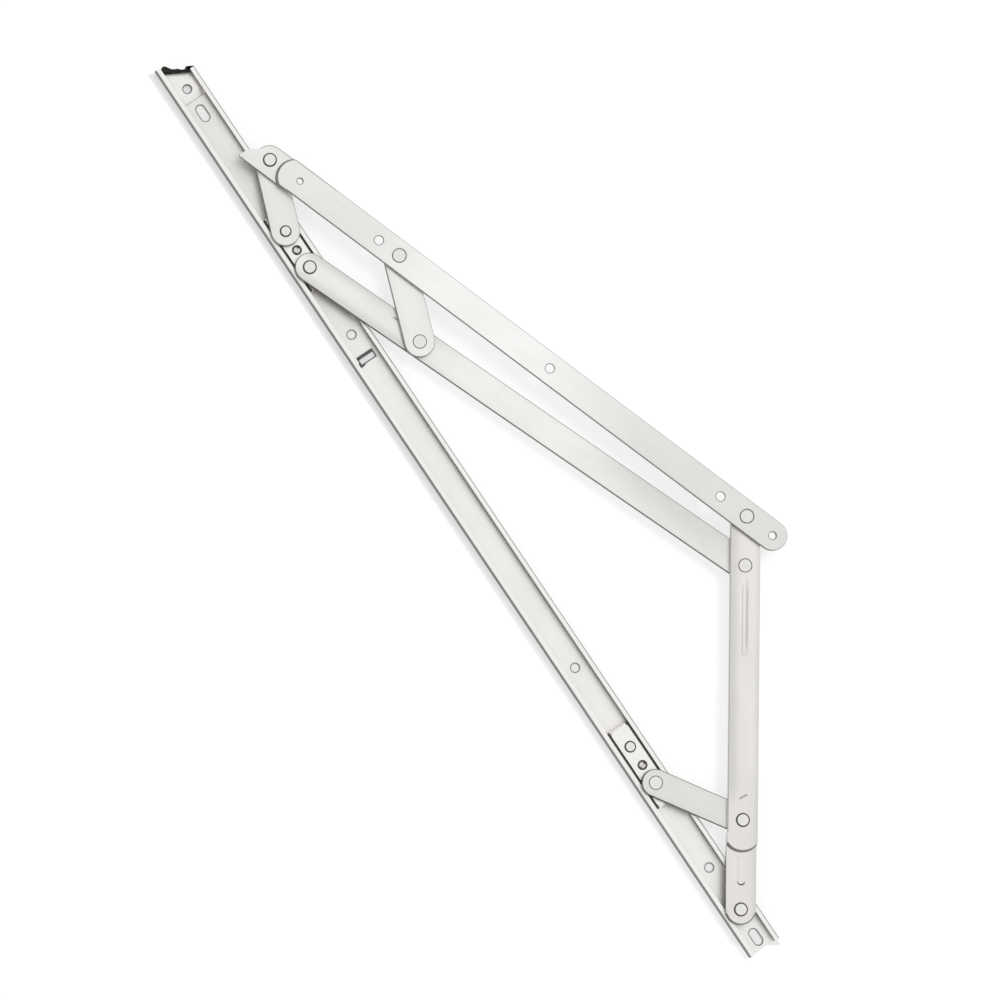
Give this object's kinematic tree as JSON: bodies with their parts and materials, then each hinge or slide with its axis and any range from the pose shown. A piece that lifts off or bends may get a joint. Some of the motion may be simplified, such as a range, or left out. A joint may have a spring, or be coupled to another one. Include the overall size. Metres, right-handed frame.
{
  "type": "friction stay",
  "caption": "Long slim window friction stay: an open channel track with two slides, flat arms and links riveted together, and a straight arm that carries the sash.",
  "frame": {"origin": "axis of the fixed pivot, on the back face of the track", "axes": "+X along the track towards its short end past the fixed pivot, +Y towards the side the sash swings out to, +Z out of the open side of the track"},
  "size_m": [0.5673, 0.1429, 0.0178],
  "materials": {
    "satin_steel": "satin stainless strip, rolled and pressed",
    "rivet_steel": "turned and peened stainless rivets and collars",
    "cast_zinc": "die cast cap, satin silver",
    "rubber": "black rubber buffer, matt",
    "nylon": "natural nylon washers",
    "brass": "plain brass sliding shoes",
    "dark_steel": "blackened slotted screws"
  },
  "bodies": {
    "track": {"track": "satin_steel", "end_cap": "cast_zinc", "end_buffer": "rubber", "fixed_pivot_collar": "rivet_steel", "fixed_pivot_rivet": "rivet_steel"},
    "short_arm": {"short_arm": "satin_steel", "short_arm_washers": "nylon", "brake_rivet": "rivet_steel", "elbow_rivet": "rivet_steel"},
    "long_arm": {"long_arm": "satin_steel", "long_arm_washer": "nylon", "middle_link_rivet": "rivet_steel"},
    "upper_slide": {"upper_shoe": "brass", "upper_slide_plate": "satin_steel", "upper_slide_collars": "rivet_steel", "upper_friction_screw": "dark_steel", "top_link_rivet": "rivet_steel", "long_arm_rivet": "rivet_steel"},
    "top_link": {"top_link": "satin_steel"},
    "middle_link": {"middle_link": "satin_steel"},
    "sash_arm": {"sash_arm": "satin_steel", "sash_arm_washers": "nylon", "sash_arm_rivet": "rivet_steel", "sash_link_rivet": "rivet_steel", "sash_tip_rivet": "rivet_steel"},
    "friction_link": {"friction_link": "satin_steel"},
    "lower_slide": {"lower_shoe": "brass", "lower_slide_plate": "satin_steel", "lower_slide_collar": "rivet_steel", "lower_friction_screw": "dark_steel", "lower_shoe_rivet": "rivet_steel", "friction_link_rivet": "rivet_steel"}
  },
  "joints": [
    {"name": "short_arm_swing", "type": "hinge", "parent": "track", "child": "short_arm", "pos_m": [0, 0, 0.0091], "axis": [0, 0, 1], "range_deg": [-4, 35]},
    {"name": "long_arm_swing", "type": "hinge", "parent": "short_arm", "child": "long_arm", "pos_m": [-0.1499, 0.10496, 0.0091], "axis": [0, 0, 1], "range_deg": [-56.7, 6.48]},
    {"name": "upper_slide_turn", "type": "hinge", "parent": "long_arm", "child": "upper_slide", "pos_m": [-0.41056, 0, 0.0091], "axis": [0, 0, 1], "range_deg": [-2.48, 21.7]},
    {"name": "top_link_swing", "type": "hinge", "parent": "upper_slide", "child": "top_link", "pos_m": [-0.43356, 0, 0.0091], "axis": [0, 0, 1], "range_deg": [-2.42, 21.14]},
    {"name": "middle_link_swing", "type": "hinge", "parent": "long_arm", "child": "middle_link", "pos_m": [-0.34526, 0.0263, 0.0127], "axis": [0, 0, 1], "range_deg": [-4.78, 41.79]},
    {"name": "sash_arm_swing", "type": "hinge", "parent": "short_arm", "child": "sash_arm", "pos_m": [-0.1712, 0.11988, 0.0163], "axis": [0, 0, 1], "range_deg": [-54.29, 6.21]},
    {"name": "friction_link_swing", "type": "hinge", "parent": "short_arm", "child": "friction_link", "pos_m": [-0.03875, 0.02713, 0.0091], "axis": [0, 0, 1], "range_deg": [-67.66, 7.73]},
    {"name": "lower_slide_turn", "type": "hinge", "parent": "friction_link", "child": "lower_slide", "pos_m": [-0.08098, 0, 0.0091], "axis": [0, 0, 1], "range_deg": [-3.73, 32.66]}
  ],
  "couplings": [
    {"joint": "long_arm_swing", "follows": "short_arm_swing", "ratio": -1.62},
    {"joint": "upper_slide_turn", "follows": "short_arm_swing", "ratio": 0.62},
    {"joint": "top_link_swing", "follows": "short_arm_swing", "ratio": 0.604},
    {"joint": "middle_link_swing", "follows": "short_arm_swing", "ratio": 1.194},
    {"joint": "sash_arm_swing", "follows": "short_arm_swing", "ratio": -1.551},
    {"joint": "friction_link_swing", "follows": "short_arm_swing", "ratio": -1.933},
    {"joint": "lower_slide_turn", "follows": "short_arm_swing", "ratio": 0.933}
  ]
}
